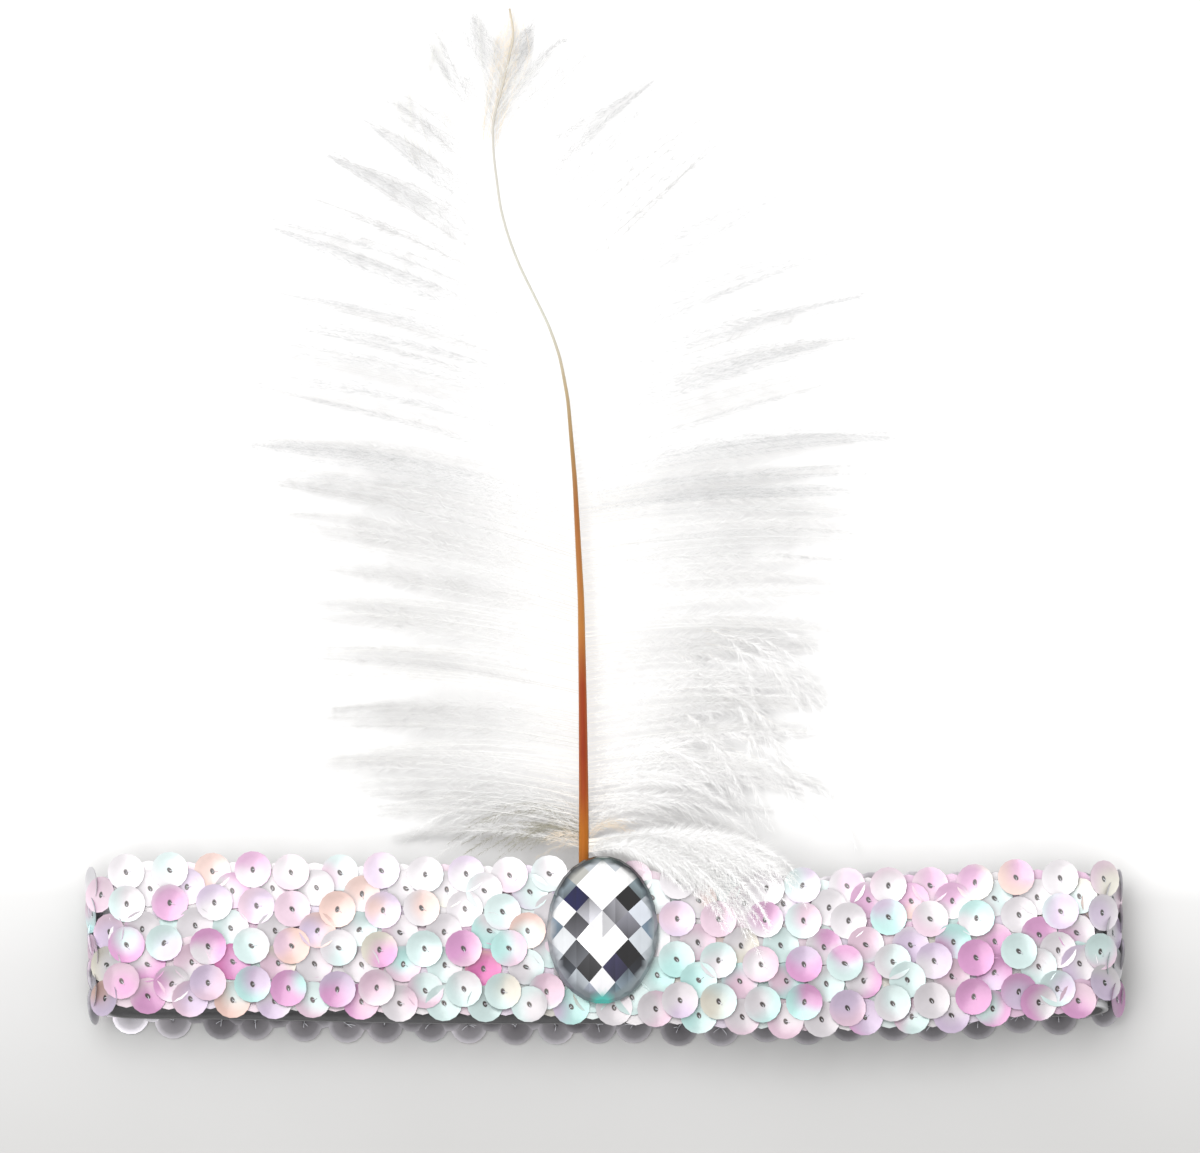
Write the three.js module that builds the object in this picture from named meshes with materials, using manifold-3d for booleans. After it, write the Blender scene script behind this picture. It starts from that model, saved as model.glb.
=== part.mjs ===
// A flapper headband lying flat: a stretch loop covered in sequins, a faceted oval gem and an ostrich plume.
import * as THREE from "three";
import loadManifold from "manifold-3d";

const manifoldLibrary = await loadManifold();
manifoldLibrary.setup();
const { Manifold } = manifoldLibrary;
const { clamp, lerp, smoothstep } = THREE.MathUtils;

// Millimetres. The band lies along X, the plume points to +Y and +Z is up.
const fitGap = 0.3;

// The loop as it lies, folded flat on the table
const bandLaid = 195.4;
const bandWidth = 32;
const bandHeight = 14;
const elasticWidth = 25;
const elasticWall = 1.2;

// The field of sequins round the loop
const sequinDiameter = 7;
const sequinPitch = 8.3;
const sequinRows = 6;
const sequinRise = 0.9;
const coverWall = 1.1;

// The gem
const gemWidth = 21;
const gemLength = 28.5;
const gemHeight = 7;
const gemRim = 0.8;
const gemBevel = 1.5;
const gemTableWidth = 4.9;
const gemTableLength = 5.3;
const gemAside = -0.5;
const gemAhead = 1.1;

// The plume, from the band's far edge to the tip and from the band's middle to one side
const plumeFoot = 16.5;
const plumeReach = 166;
const plumeHalf = 66;
const quillDiameter = 1.9;
const quillTuck = 21;
const vaneEdge = 0.5;
const tuftRest = bandHeight + 0.35;

// Worked out from the sizes above
const foldRadius = bandHeight / 2 - fitGap - coverWall - sequinRise;
const straightHalf = bandLaid / 2 - bandHeight / 2;
const coverInside = fitGap;
const coverBase = coverInside + coverWall;
const sequinCount = Math.round(loopLength(coverBase) / sequinPitch);
const gemSeat = bandHeight / 2 + foldRadius + coverBase + 0.25 * sequinRise + fitGap;

// How each run of the loop lies: shares of the half length, and of the band's width
const runRows = [
  { at: -1.0, front: 0.0, back: -0.035, width: 0.92 },
  { at: -0.86, front: 0.015, back: -0.045, width: 0.98 },
  { at: -0.25, front: -0.01, back: -0.075, width: 1.0 },
  { at: 0.4, front: -0.1, back: -0.07, width: 1.02 },
  { at: 0.6, front: -0.08, back: -0.045, width: 1.02 },
  { at: 0.93, front: -0.015, back: -0.03, width: 0.96 },
  { at: 1.0, front: 0.0, back: -0.02, width: 0.92 },
];

// The shaft: shares of the plume's reach, of its half width, of the band's height and of the quill
const shaftRows = [
  { up: 0.0, side: -0.061, lift: 0.66, thick: 1.0 },
  { up: 0.064, side: -0.061, lift: 0.58, thick: 0.96 },
  { up: 0.183, side: -0.064, lift: 0.43, thick: 0.82 },
  { up: 0.301, side: -0.069, lift: 0.336, thick: 0.66 },
  { up: 0.443, side: -0.087, lift: 0.257, thick: 0.47 },
  { up: 0.538, side: -0.107, lift: 0.214, thick: 0.36 },
  { up: 0.588, side: -0.13, lift: 0.2, thick: 0.3 },
  { up: 0.625, side: -0.162, lift: 0.186, thick: 0.27 },
  { up: 0.663, side: -0.208, lift: 0.179, thick: 0.25 },
  { up: 0.696, side: -0.248, lift: 0.171, thick: 0.25 },
  { up: 0.73, side: -0.28, lift: 0.164, thick: 0.24 },
  { up: 0.764, side: -0.303, lift: 0.157, thick: 0.24 },
  { up: 0.827, side: -0.323, lift: 0.143, thick: 0.23 },
  { up: 0.865, side: -0.326, lift: 0.136, thick: 0.23 },
  { up: 0.916, side: -0.292, lift: 0.121, thick: 0.22 },
  { up: 0.969, side: -0.263, lift: 0.1, thick: 0.21 },
  { up: 1.0, side: -0.277, lift: 0.086, thick: 0.21 },
];

// A row for each lock: where it leaves the shaft, how far out and how far on its tip lies, and its bow.
// Shares of the plume's reach, of its half width, of its reach again and of the lock's own length.
const leftLocks = [
  { root: 0.012, out: 0.554, on: 0.005, bow: 0.16 },
  { root: 0.044, out: 0.72, on: 0.018, bow: 0.11 },
  { root: 0.091, out: 0.81, on: 0.027, bow: 0.07 },
  { root: 0.138, out: 0.765, on: 0.027, bow: 0.06 },
  { root: 0.191, out: 0.817, on: 0.047, bow: 0.06 },
  { root: 0.25, out: 0.846, on: 0.047, bow: 0.07 },
  { root: 0.315, out: 0.918, on: 0.077, bow: 0.07 },
  { root: 0.368, out: 0.895, on: 0.071, bow: 0.07 },
  { root: 0.41, out: 1.004, on: 0.077, bow: 0.07 },
  { root: 0.469, out: 0.97, on: 0.094, bow: 0.07 },
  { root: 0.516, out: 1.0, on: 0.1, bow: 0.07 },
  { root: 0.564, out: 0.953, on: 0.1, bow: 0.08 },
  { root: 0.6, out: 0.886, on: 0.13, bow: 0.08 },
  { root: 0.638, out: 0.831, on: 0.154, bow: 0.08 },
  { root: 0.676, out: 0.62, on: 0.14, bow: 0.07 },
  { root: 0.723, out: 0.46, on: 0.13, bow: 0.06 },
  { root: 0.776, out: 0.39, on: 0.131, bow: 0.06 },
  { root: 0.829, out: 0.29, on: 0.118, bow: 0.05 },
  { root: 0.865, out: 0.185, on: 0.12, bow: 0.04 },
  { root: 0.91, out: 0.11, on: 0.08, bow: 0.02 },
];
const rightLocks = [
  { root: 0.037, out: 0.525, on: -0.02, bow: 0.11 },
  { root: 0.062, out: 0.6, on: -0.014, bow: 0.11 },
  { root: 0.091, out: 0.736, on: 0.006, bow: 0.1 },
  { root: 0.138, out: 0.765, on: 0.015, bow: 0.08 },
  { root: 0.18, out: 0.797, on: 0.01, bow: 0.07 },
  { root: 0.233, out: 0.72, on: 0.018, bow: 0.07 },
  { root: 0.268, out: 0.82, on: -0.003, bow: 0.07 },
  { root: 0.315, out: 0.838, on: 0.006, bow: 0.07 },
  { root: 0.345, out: 0.88, on: 0.018, bow: 0.07 },
  { root: 0.386, out: 0.973, on: 0.018, bow: 0.07 },
  { root: 0.44, out: 0.955, on: 0.014, bow: 0.07 },
  { root: 0.469, out: 0.961, on: 0.036, bow: 0.07 },
  { root: 0.51, out: 0.9, on: 0.057, bow: 0.07 },
  { root: 0.552, out: 0.89, on: 0.065, bow: 0.07 },
  { root: 0.593, out: 0.915, on: 0.078, bow: 0.07 },
  { root: 0.631, out: 0.875, on: 0.102, bow: 0.08 },
  { root: 0.664, out: 0.777, on: 0.14, bow: 0.08 },
  { root: 0.712, out: 0.627, on: 0.166, bow: 0.08 },
  { root: 0.765, out: 0.468, on: 0.155, bow: 0.07 },
  { root: 0.818, out: 0.344, on: 0.132, bow: 0.06 },
  { root: 0.865, out: 0.228, on: 0.116, bow: 0.05 },
  { root: 0.917, out: 0.1, on: 0.07, bow: 0.02 },
];

// The locks that spill over the front run. Shares of the reach, of the half width twice, and how
// far the tip lies in from the band's far edge and the bend lies off it, as shares of the band's width.
const tuftLocks = [
  { root: 0.003, bend: 0.205, out: 0.33, over: 0.31, off: 0.065 },
  { root: 0.006, bend: 0.262, out: 0.399, over: 0.44, off: 0.09 },
  { root: 0.009, bend: 0.335, out: 0.465, over: 0.57, off: 0.11 },
  { root: 0.012, bend: 0.392, out: 0.526, over: 0.5, off: 0.13 },
  { root: 0.015, bend: 0.45, out: 0.575, over: 0.34, off: 0.15 },
  { root: 0.018, bend: 0.479, out: 0.592, over: 0.18, off: 0.16 },
];

// Shapes from points: each list of triangles is turned so that its body faces out
function solidFrom(points, triangles) {
  const volume = triangles.reduce((sum, [a, b, c]) => {
    return sum + points[a].dot(points[b].clone().cross(points[c]));
  }, 0);
  const faces = volume < 0 ? triangles.map(([a, b, c]) => [a, c, b]) : triangles;
  const geometry = new THREE.BufferGeometry().setFromPoints(points);
  geometry.setIndex(faces.flat());
  geometry.computeVertexNormals();
  return geometry;
}

// A closed ring of closed sections
function ringSolid(sections) {
  const sides = sections[0].length;
  const triangles = [];
  sections.forEach((section, ring) => {
    const here = ring * sides;
    const there = ((ring + 1) % sections.length) * sides;
    section.forEach((point, side) => {
      const next = (side + 1) % sides;
      triangles.push([here + side, there + side, there + next]);
      triangles.push([here + side, there + next, here + next]);
    });
  });
  return solidFrom(sections.flat(), triangles);
}

// A row of closed sections with a fan over each end
function loftSolid(sections) {
  const sides = sections[0].length;
  const last = (sections.length - 1) * sides;
  const triangles = [];
  for (let ring = 0; ring < sections.length - 1; ring += 1) {
    const here = ring * sides;
    const there = here + sides;
    for (let side = 0; side < sides; side += 1) {
      const next = (side + 1) % sides;
      triangles.push([here + side, there + side, there + next]);
      triangles.push([here + side, there + next, here + next]);
    }
  }
  for (let side = 1; side < sides - 1; side += 1) {
    triangles.push([0, side, side + 1]);
    triangles.push([last, last + side + 1, last + side]);
  }
  return solidFrom(sections.flat(), triangles);
}

// A sheet with a top and an underside: a column for each line of points, root first
function sheetSolid(columns) {
  const steps = columns[0].top.length;
  const points = columns.flatMap((column) => [...column.top, ...column.under]);
  const top = (column, step) => column * 2 * steps + step;
  const under = (column, step) => top(column, step) + steps;
  const triangles = [];
  const quad = (a, b, c, d) => triangles.push([a, b, c], [a, c, d]);
  for (let column = 0; column < columns.length - 1; column += 1) {
    const next = column + 1;
    for (let step = 0; step < steps - 1; step += 1) {
      quad(top(column, step), top(column, step + 1), top(next, step + 1), top(next, step));
      quad(under(column, step), under(next, step), under(next, step + 1), under(column, step + 1));
    }
    const end = steps - 1;
    quad(top(column, 0), top(next, 0), under(next, 0), under(column, 0));
    quad(top(column, end), under(column, end), under(next, end), top(next, end));
  }
  const last = columns.length - 1;
  for (let step = 0; step < steps - 1; step += 1) {
    quad(top(0, step), under(0, step), under(0, step + 1), top(0, step + 1));
    quad(top(last, step), top(last, step + 1), under(last, step + 1), under(last, step));
  }
  return solidFrom(points, triangles);
}

function fromManifold(body) {
  const mesh = body.getMesh();
  const points = [];
  const triangles = [];
  for (let at = 0; at < mesh.vertProperties.length; at += mesh.numProp) {
    points.push(new THREE.Vector3().fromArray(mesh.vertProperties, at));
  }
  for (let at = 0; at < mesh.triVerts.length; at += 3) {
    triangles.push([mesh.triVerts[at], mesh.triVerts[at + 1], mesh.triVerts[at + 2]]);
  }
  return solidFrom(points, triangles);
}

function blendRows(low, high, share) {
  return Object.fromEntries(Object.keys(low).map((name) => [name, lerp(low[name], high[name], share)]));
}

// The loop, followed from the left end of the front run: over, round the right fold and back beneath
function loopLength(out) {
  return 4 * straightHalf + 2 * Math.PI * (foldRadius + out);
}

function loopPoint(turn, out) {
  const fold = Math.PI * (foldRadius + coverBase);
  const along = turn * loopLength(coverBase);
  const run = 2 * straightHalf;
  const radius = foldRadius + out;
  const rightTurn = clamp((along - run) / fold, 0, 1);
  const leftTurn = clamp((along - 2 * run - fold) / fold, 0, 1);
  const angle = Math.PI * (0.5 - rightTurn - leftTurn);
  let middle = -straightHalf + clamp(along, 0, run);
  middle -= clamp(along - run - fold, 0, run);
  return {
    x: middle + radius * Math.cos(angle),
    z: bandHeight / 2 + radius * Math.sin(angle),
    beneath: (1 - Math.sin(angle)) / 2,
  };
}

function runAt(x, beneath) {
  const at = clamp((2 * x) / bandLaid, -1, 1);
  const high = runRows.find((row) => row.at >= at);
  const low = runRows[Math.max(0, runRows.indexOf(high) - 1)];
  const row = low === high ? low : blendRows(low, high, smoothstep(at, low.at, high.at));
  return { centre: bandWidth * lerp(row.front, row.back, beneath), width: bandWidth * row.width };
}

function bandPoint(turn, out, across) {
  const place = loopPoint(turn, out);
  return new THREE.Vector3(place.x, runAt(place.x, place.beneath).centre + across, place.z);
}

function elasticBand() {
  const stepsPerFold = 8;
  const straightSteps = 12;
  const fold = Math.PI * (foldRadius + coverBase);
  const total = loopLength(coverBase);
  const turns = [];
  for (let half = 0; half < 2; half += 1) {
    const start = half * 0.5;
    for (let step = 0; step < straightSteps; step += 1) {
      turns.push(start + ((2 * straightHalf) / total) * (step / straightSteps));
    }
    for (let step = 0; step < stepsPerFold; step += 1) {
      turns.push(start + (2 * straightHalf + (fold * step) / stepsPerFold) / total);
    }
  }
  const edge = elasticWidth / 2;
  return ringSolid(
    turns.map((turn) => [
      bandPoint(turn, 0, edge),
      bandPoint(turn, 0, -edge),
      bandPoint(turn, -elasticWall, -edge),
      bandPoint(turn, -elasticWall, edge),
    ]),
  );
}

// One section across the field of sequins: each row steps up at its far edge onto the row beyond.
// Where the loop lies on the table the sequins are pressed flat, and so they are beside the gem.
function coverSection(column, columns) {
  const turn = column / columns;
  const columnsPerSequin = columns / sequinCount;
  const place = loopPoint(turn, coverBase);
  const run = runAt(place.x, place.beneath);
  const underGem = place.beneath < 0.5 && Math.abs(place.x - gemAside) < gemWidth / 2 + 2.2;
  const radius = sequinDiameter / 2;
  const pitch = (run.width - sequinDiameter) / (sequinRows - 1);
  const section = [];
  const add = (across, out) => section.push(bandPoint(turn, out, across));
  let edge = 0;
  let lowBefore = coverBase;
  for (let row = 0; row < sequinRows; row += 1) {
    const phase = (column / columnsPerSequin + (row % 2) / 2) % 1;
    const fromMiddle = (phase - 0.5) * sequinPitch;
    const arc = Math.sqrt(Math.max(0, radius * radius - fromMiddle * fromMiddle));
    const share = Math.max(arc / radius, 0.4);
    const pressed = share < 0.7 ? share : 1;
    const rise = sequinRise * (underGem ? 0.25 : lerp(share, pressed, place.beneath));
    const centre = run.width / 2 - radius - row * pitch;
    add(centre + share * radius, row === 0 ? coverInside : lowBefore);
    add(centre + share * radius - 0.15, coverBase + rise);
    lowBefore = coverBase + rise * place.beneath;
    edge = centre - share * radius;
  }
  add(edge, lowBefore);
  add(edge, coverInside);
  return section;
}

function sequinCover() {
  const columns = 4 * sequinCount;
  return ringSolid([...Array(columns).keys()].map((column) => coverSection(column, columns)));
}

// Rhombus facets on a dome: a grid of points on a paraboloid, whose every cell is flat
function gem() {
  const halfWidth = gemWidth / 2;
  const halfLength = gemLength / 2;
  const spread = Math.sqrt(gemHeight / (gemHeight - 2 * gemRim));
  const cells = 6;
  const crown = [];
  for (let first = -cells; first <= cells + 1; first += 1) {
    for (let second = -cells; second <= cells + 1; second += 1) {
      const x = ((first - second) * gemTableWidth) / 2;
      const y = ((first + second - 1) * gemTableLength) / 2;
      const fall = (x / (halfWidth * spread)) ** 2 + (y / (halfLength * spread)) ** 2;
      crown.push([x, y, gemHeight * (1 - fall)]);
    }
  }
  const ring = (inset, z) => {
    const sides = 28;
    return [...Array(sides).keys()].map((side) => {
      const angle = (2 * Math.PI * (side + 0.5)) / sides;
      return [(halfWidth - inset) * Math.cos(angle), (halfLength - inset) * Math.sin(angle), z];
    });
  };
  const girdle = [
    ...ring(gemBevel / 4, 0),
    ...ring(0, gemRim),
    ...ring(gemBevel, gemHeight / 2),
    ...ring(2 * gemBevel, gemHeight),
  ];
  const body = Manifold.hull(crown).intersect(Manifold.hull(girdle));
  return fromManifold(body).translate(gemAside, gemAhead, gemSeat);
}

// The shaft, as points of a curve with the thickness at each
const shaftLine = (() => {
  const rows = shaftRows.map((row) => ({
    place: new THREE.Vector3(row.side * plumeHalf, plumeFoot + row.up * plumeReach, row.lift * bandHeight),
    thick: row.thick,
  }));
  const tucked = rows[0].place.clone();
  tucked.y -= quillTuck;
  const curve = new THREE.CatmullRomCurve3([tucked, ...rows.map((row) => row.place)], false, "centripetal");
  const steps = 160;
  return [...Array(steps + 1).keys()].map((step) => {
    const spot = (step / steps) * rows.length;
    const low = clamp(Math.floor(spot) - 1, 0, rows.length - 1);
    const high = clamp(Math.floor(spot), 0, rows.length - 1);
    const thick = lerp(rows[low].thick, rows[high].thick, spot - Math.floor(spot));
    return { place: curve.getPoint(step / steps), radius: (thick * quillDiameter) / 2 };
  });
})();

function shaftAt(up) {
  const y = plumeFoot + up * plumeReach;
  const found = shaftLine.findIndex((spot) => spot.place.y >= y);
  const high = found < 1 ? shaftLine.length - 1 : found;
  const before = shaftLine[high - 1];
  const after = shaftLine[high];
  const share = clamp((y - before.place.y) / (after.place.y - before.place.y), 0, 1);
  return {
    place: before.place.clone().lerp(after.place, share),
    heading: after.place.clone().sub(before.place).normalize(),
    radius: lerp(before.radius, after.radius, share),
  };
}

function featherShaft() {
  const sides = 8;
  const stride = 4;
  const spots = shaftLine.filter((spot, index) => index % stride === 0);
  const sections = spots.map((spot, index) => {
    const before = spots[Math.max(0, index - 1)].place;
    const after = spots[Math.min(spots.length - 1, index + 1)].place;
    const heading = after.clone().sub(before).normalize();
    const across = heading.clone().cross(new THREE.Vector3(0, 0, 1)).normalize();
    const above = across.clone().cross(heading);
    return [...Array(sides).keys()].map((side) => {
      const angle = (2 * Math.PI * side) / sides;
      const point = spot.place.clone().addScaledVector(across, spot.radius * Math.cos(angle));
      return point.addScaledVector(above, spot.radius * Math.sin(angle));
    });
  });
  return loftSolid(sections);
}

// A place beside the shaft, clear of it by the gap
function besideShaft(up, hand) {
  const spot = shaftAt(up);
  const across = new THREE.Vector3(spot.heading.y, -spot.heading.x, 0).normalize();
  return spot.place.clone().addScaledVector(across, hand * (spot.radius + fitGap));
}

function lockAt(locks, at) {
  const low = clamp(Math.floor(at), 0, locks.length - 2);
  return blendRows(locks[low], locks[low + 1], at - low);
}

// Columns across a comb of locks: two for each lock, and one in the notch between it and the next
function combColumns(locks, columnAt) {
  const columns = [];
  locks.forEach((lock, index) => {
    columns.push(columnAt(index, -1, 1));
    columns.push(columnAt(index, 1, 1));
    if (index < locks.length - 1) {
      columns.push(columnAt(index + 0.5, 0, 0));
    }
  });
  return columns;
}

function bowPoint(root, bend, tip, share) {
  return new THREE.QuadraticBezierCurve3(root, bend, tip).getPoint(share);
}

// One side of the plume: the locks droop from the shaft to the table, fuller at the foot
function vane(locks, hand) {
  const steps = 6;
  const columnAt = (at, side, crest) => {
    const notch = 0.3 + 0.1 * Math.sin(2.4 * at);
    const reach = crest ? 1 : 1 - notch;
    const top = [];
    const under = [];
    for (let step = 0; step <= steps; step += 1) {
      const share = (step / steps) * reach;
      const halfLock = lerp(0.34, 0.1, share);
      const lock = lockAt(locks, at + side * halfLock);
      const root = besideShaft(lock.root, hand);
      const tip = new THREE.Vector3(
        root.x + hand * lock.out * plumeHalf,
        root.y + lock.on * plumeReach,
        vaneEdge,
      );
      const bend = root.clone().lerp(tip, 0.5);
      bend.y += lock.bow * root.distanceTo(tip);
      bend.z = lerp(root.z, vaneEdge, 0.6);
      const point = bowPoint(root, bend, tip, share);
      const puff = lerp(1.5, 0.5, clamp(lock.root * 1.4, 0, 1));
      const half = vaneEdge + puff * Math.sin(Math.PI * clamp(share * 0.95, 0, 1));
      const lowest = Math.max(0, point.z - half);
      const highest = point.z + half * (crest ? 1 : 0.55);
      top.push(new THREE.Vector3(point.x, point.y, Math.max(highest, lowest + vaneEdge)));
      under.push(new THREE.Vector3(point.x, point.y, lowest));
    }
    return { top, under };
  };
  return sheetSolid(combColumns(locks, columnAt));
}

// The tuft climbs beside the shaft, turns over the band's far edge and lies on the sequins
function downTuft() {
  const steps = 8;
  const columnAt = (at, side, crest) => {
    const reach = crest ? 1 : 0.74;
    const top = [];
    const under = [];
    for (let step = 0; step <= steps; step += 1) {
      const share = (step / steps) * reach;
      const lock = lockAt(tuftLocks, at + side * lerp(0.34, 0.12, share));
      const root = besideShaft(lock.root, 1);
      const bend = new THREE.Vector3(root.x + lock.bend * plumeHalf, plumeFoot + lock.off * bandWidth, 0);
      const tip = new THREE.Vector3(root.x + lock.out * plumeHalf, plumeFoot - lock.over * bandWidth, 0);
      const point = bowPoint(root, bend, tip, share);
      const thick = 2 * vaneEdge + 1.6 * Math.sin(Math.PI * share) * (crest ? 1 : 0.6);
      const lowest = lerp(root.z - vaneEdge, tuftRest, smoothstep(share, 0, 0.4));
      top.push(new THREE.Vector3(point.x, point.y, lowest + thick));
      under.push(new THREE.Vector3(point.x, point.y, lowest));
    }
    return { top, under };
  };
  return sheetSolid(combColumns(tuftLocks, columnAt));
}

function material(color, roughness, metalness) {
  return new THREE.MeshStandardMaterial({ color, roughness, metalness });
}

const pieces = [
  ["elastic_band", elasticBand(), material("#cfcdd0", 0.85, 0)],
  ["sequin_cover", sequinCover(), material("#f1e6f0", 0.3, 0.1)],
  ["gem", gem(), material("#d7dbe2", 0.06, 0.85)],
  ["feather_shaft", featherShaft(), material("#b4662a", 0.45, 0)],
  ["vane_left", vane(leftLocks, -1), material("#f6f5f2", 0.9, 0)],
  ["vane_right", vane(rightLocks, 1), material("#f6f5f2", 0.9, 0)],
  ["down_tuft", downTuft(), material("#efece7", 0.9, 0)],
];

const headband = new THREE.Group();
for (const [name, geometry, look] of pieces) {
  const mesh = new THREE.Mesh(geometry, look);
  mesh.name = name;
  headband.add(mesh);
}

// The origin is under the middle of the whole object, on the table
const box = new THREE.Box3().setFromObject(headband);
const middle = box.getCenter(new THREE.Vector3());
for (const mesh of headband.children) {
  mesh.geometry.translate(-middle.x, -middle.y, -box.min.z);
}

export default headband;
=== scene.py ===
import math

import bmesh
import bpy
import numpy as np
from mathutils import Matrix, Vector


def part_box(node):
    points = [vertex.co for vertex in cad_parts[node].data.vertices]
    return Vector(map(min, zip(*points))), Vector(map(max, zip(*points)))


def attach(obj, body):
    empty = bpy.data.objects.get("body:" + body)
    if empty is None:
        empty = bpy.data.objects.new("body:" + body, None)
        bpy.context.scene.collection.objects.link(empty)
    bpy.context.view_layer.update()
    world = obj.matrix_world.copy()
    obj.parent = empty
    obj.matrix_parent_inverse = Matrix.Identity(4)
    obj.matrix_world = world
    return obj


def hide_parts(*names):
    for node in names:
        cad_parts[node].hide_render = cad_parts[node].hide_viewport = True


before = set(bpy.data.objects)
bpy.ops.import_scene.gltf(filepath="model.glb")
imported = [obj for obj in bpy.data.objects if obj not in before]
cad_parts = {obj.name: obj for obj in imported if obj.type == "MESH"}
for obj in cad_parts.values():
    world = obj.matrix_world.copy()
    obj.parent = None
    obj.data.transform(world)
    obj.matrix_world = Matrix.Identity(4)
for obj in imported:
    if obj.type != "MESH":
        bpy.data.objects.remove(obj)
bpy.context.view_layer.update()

# Lengths below are millimetres in the part's own layout: the band's middle is at X and Y zero.
# place() turns them into metres in the frame, whose Y is counted from the middle of the whole object.
mm = 0.001
plume = {"foot": 16.5, "reach": 166.0, "half": 66.0, "quill": 1.9, "tuck": 21.0}
band = {
    "laid": 195.4, "width": 32.0, "height": 14.0,  # as it lies, folded flat
    "fold": 4.7, "base": 1.4, "elastic": 25.0, "wall": 1.2,
}
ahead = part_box("feather_shaft")[0].y - (plume["foot"] - plume["tuck"]) * mm

runRows = [
    # at, front, back, width: shares of the half length, and of the band's width
    (-1.0, 0.0, -0.035, 0.92),
    (-0.86, 0.015, -0.045, 0.98),
    (-0.25, -0.01, -0.075, 1.0),
    (0.4, -0.1, -0.07, 1.02),
    (0.6, -0.08, -0.045, 1.02),
    (0.93, -0.015, -0.03, 0.96),
    (1.0, 0.0, -0.02, 0.92),
]
shaftRows = [
    # up, side, lift, thick: shares of the reach, of the half width, of the band's height and of the quill
    (0.0, -0.061, 0.66, 1.0),
    (0.064, -0.061, 0.58, 0.96),
    (0.183, -0.064, 0.43, 0.82),
    (0.301, -0.069, 0.336, 0.66),
    (0.443, -0.087, 0.257, 0.47),
    (0.538, -0.107, 0.214, 0.36),
    (0.588, -0.13, 0.2, 0.3),
    (0.625, -0.162, 0.186, 0.27),
    (0.663, -0.208, 0.179, 0.25),
    (0.696, -0.248, 0.171, 0.25),
    (0.73, -0.28, 0.164, 0.24),
    (0.764, -0.303, 0.157, 0.24),
    (0.827, -0.323, 0.143, 0.23),
    (0.865, -0.326, 0.136, 0.23),
    (0.916, -0.292, 0.121, 0.22),
    (0.969, -0.263, 0.1, 0.21),
    (1.0, -0.277, 0.086, 0.21),
]
leftLocks = [
    # root, out, on, bow: where a lock leaves the shaft, how far out and on its tip lies, and its bow
    (0.012, 0.554, 0.005, 0.16),
    (0.044, 0.72, 0.018, 0.11),
    (0.091, 0.81, 0.027, 0.07),
    (0.138, 0.765, 0.027, 0.06),
    (0.191, 0.817, 0.047, 0.06),
    (0.25, 0.846, 0.047, 0.07),
    (0.315, 0.918, 0.077, 0.07),
    (0.368, 0.895, 0.071, 0.07),
    (0.41, 1.004, 0.077, 0.07),
    (0.469, 0.97, 0.094, 0.07),
    (0.516, 1.0, 0.1, 0.07),
    (0.564, 0.953, 0.1, 0.08),
    (0.6, 0.886, 0.13, 0.08),
    (0.638, 0.831, 0.154, 0.08),
    (0.676, 0.62, 0.14, 0.07),
    (0.723, 0.46, 0.13, 0.06),
    (0.776, 0.39, 0.131, 0.06),
    (0.829, 0.29, 0.118, 0.05),
    (0.865, 0.185, 0.12, 0.04),
    (0.91, 0.11, 0.08, 0.02),
]
rightLocks = [
    (0.037, 0.525, -0.02, 0.11),
    (0.062, 0.6, -0.014, 0.11),
    (0.091, 0.736, 0.006, 0.1),
    (0.138, 0.765, 0.015, 0.08),
    (0.18, 0.797, 0.01, 0.07),
    (0.233, 0.72, 0.018, 0.07),
    (0.268, 0.82, -0.003, 0.07),
    (0.315, 0.838, 0.006, 0.07),
    (0.345, 0.88, 0.018, 0.07),
    (0.386, 0.973, 0.018, 0.07),
    (0.44, 0.955, 0.014, 0.07),
    (0.469, 0.961, 0.036, 0.07),
    (0.51, 0.9, 0.057, 0.07),
    (0.552, 0.89, 0.065, 0.07),
    (0.593, 0.915, 0.078, 0.07),
    (0.631, 0.875, 0.102, 0.08),
    (0.664, 0.777, 0.14, 0.08),
    (0.712, 0.627, 0.166, 0.08),
    (0.765, 0.468, 0.155, 0.07),
    (0.818, 0.344, 0.132, 0.06),
    (0.865, 0.228, 0.116, 0.05),
    (0.917, 0.1, 0.07, 0.02),
]
tuftLocks = [
    # root, bend, out, over, off: as in the part's own table of the locks that spill over the band
    (0.003, 0.205, 0.33, 0.31, 0.065),
    (0.006, 0.262, 0.399, 0.44, 0.09),
    (0.009, 0.335, 0.465, 0.57, 0.11),
    (0.012, 0.392, 0.526, 0.5, 0.13),
    (0.015, 0.45, 0.575, 0.34, 0.15),
    (0.018, 0.479, 0.592, 0.18, 0.16),
]


def place(points):
    return np.asarray(points, float) * mm + np.array((0.0, ahead, 0.0))


def smooth(x, low=0.0, high=1.0):
    t = np.clip((np.asarray(x, float) - low) / (high - low), 0, 1)
    return t * t * (3 - 2 * t)


def unit(vectors):
    return vectors / np.maximum(np.linalg.norm(vectors, axis=-1, keepdims=True), 1e-9)


def linear(color):
    return tuple(c / 12.92 if c <= 0.04045 else ((c + 0.055) / 1.055) ** 2.4 for c in color)


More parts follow.
